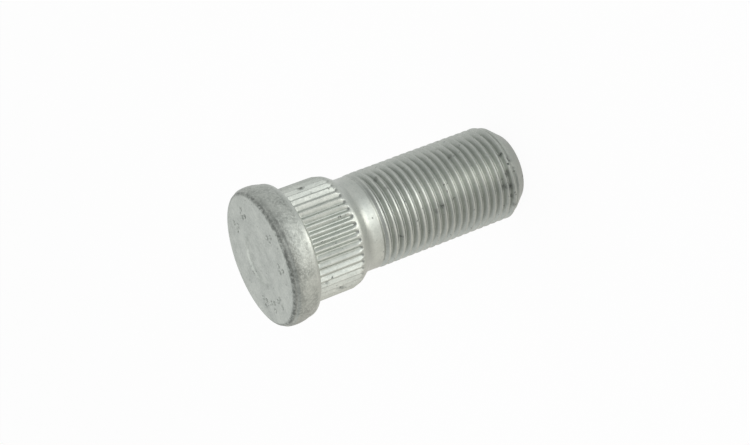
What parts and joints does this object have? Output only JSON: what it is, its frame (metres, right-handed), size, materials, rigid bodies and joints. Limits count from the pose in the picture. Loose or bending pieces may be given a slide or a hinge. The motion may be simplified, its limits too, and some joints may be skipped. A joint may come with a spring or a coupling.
{
  "type": "press-in wheel bolt",
  "caption": "Press-in wheel bolt: round forged head, straight-serrated shank that grips the hub, short cone and neck, then a fine rolled thread with a chamfered end for the wheel nut.",
  "frame": {"origin": "centre of the flat threaded end, on the bolt's axis", "axes": "+Z along the bolt's axis, from the threaded end to the head; X and Y are alike, and a serration groove lies on each"},
  "size_m": [0.0258, 0.0258, 0.052],
  "materials": {
    "zinc_coated_steel": "matte silver-grey zinc coating, finely speckled"
  },
  "bodies": {
    "root": {"wheel_bolt": "zinc_coated_steel"}
  },
  "joints": []
}
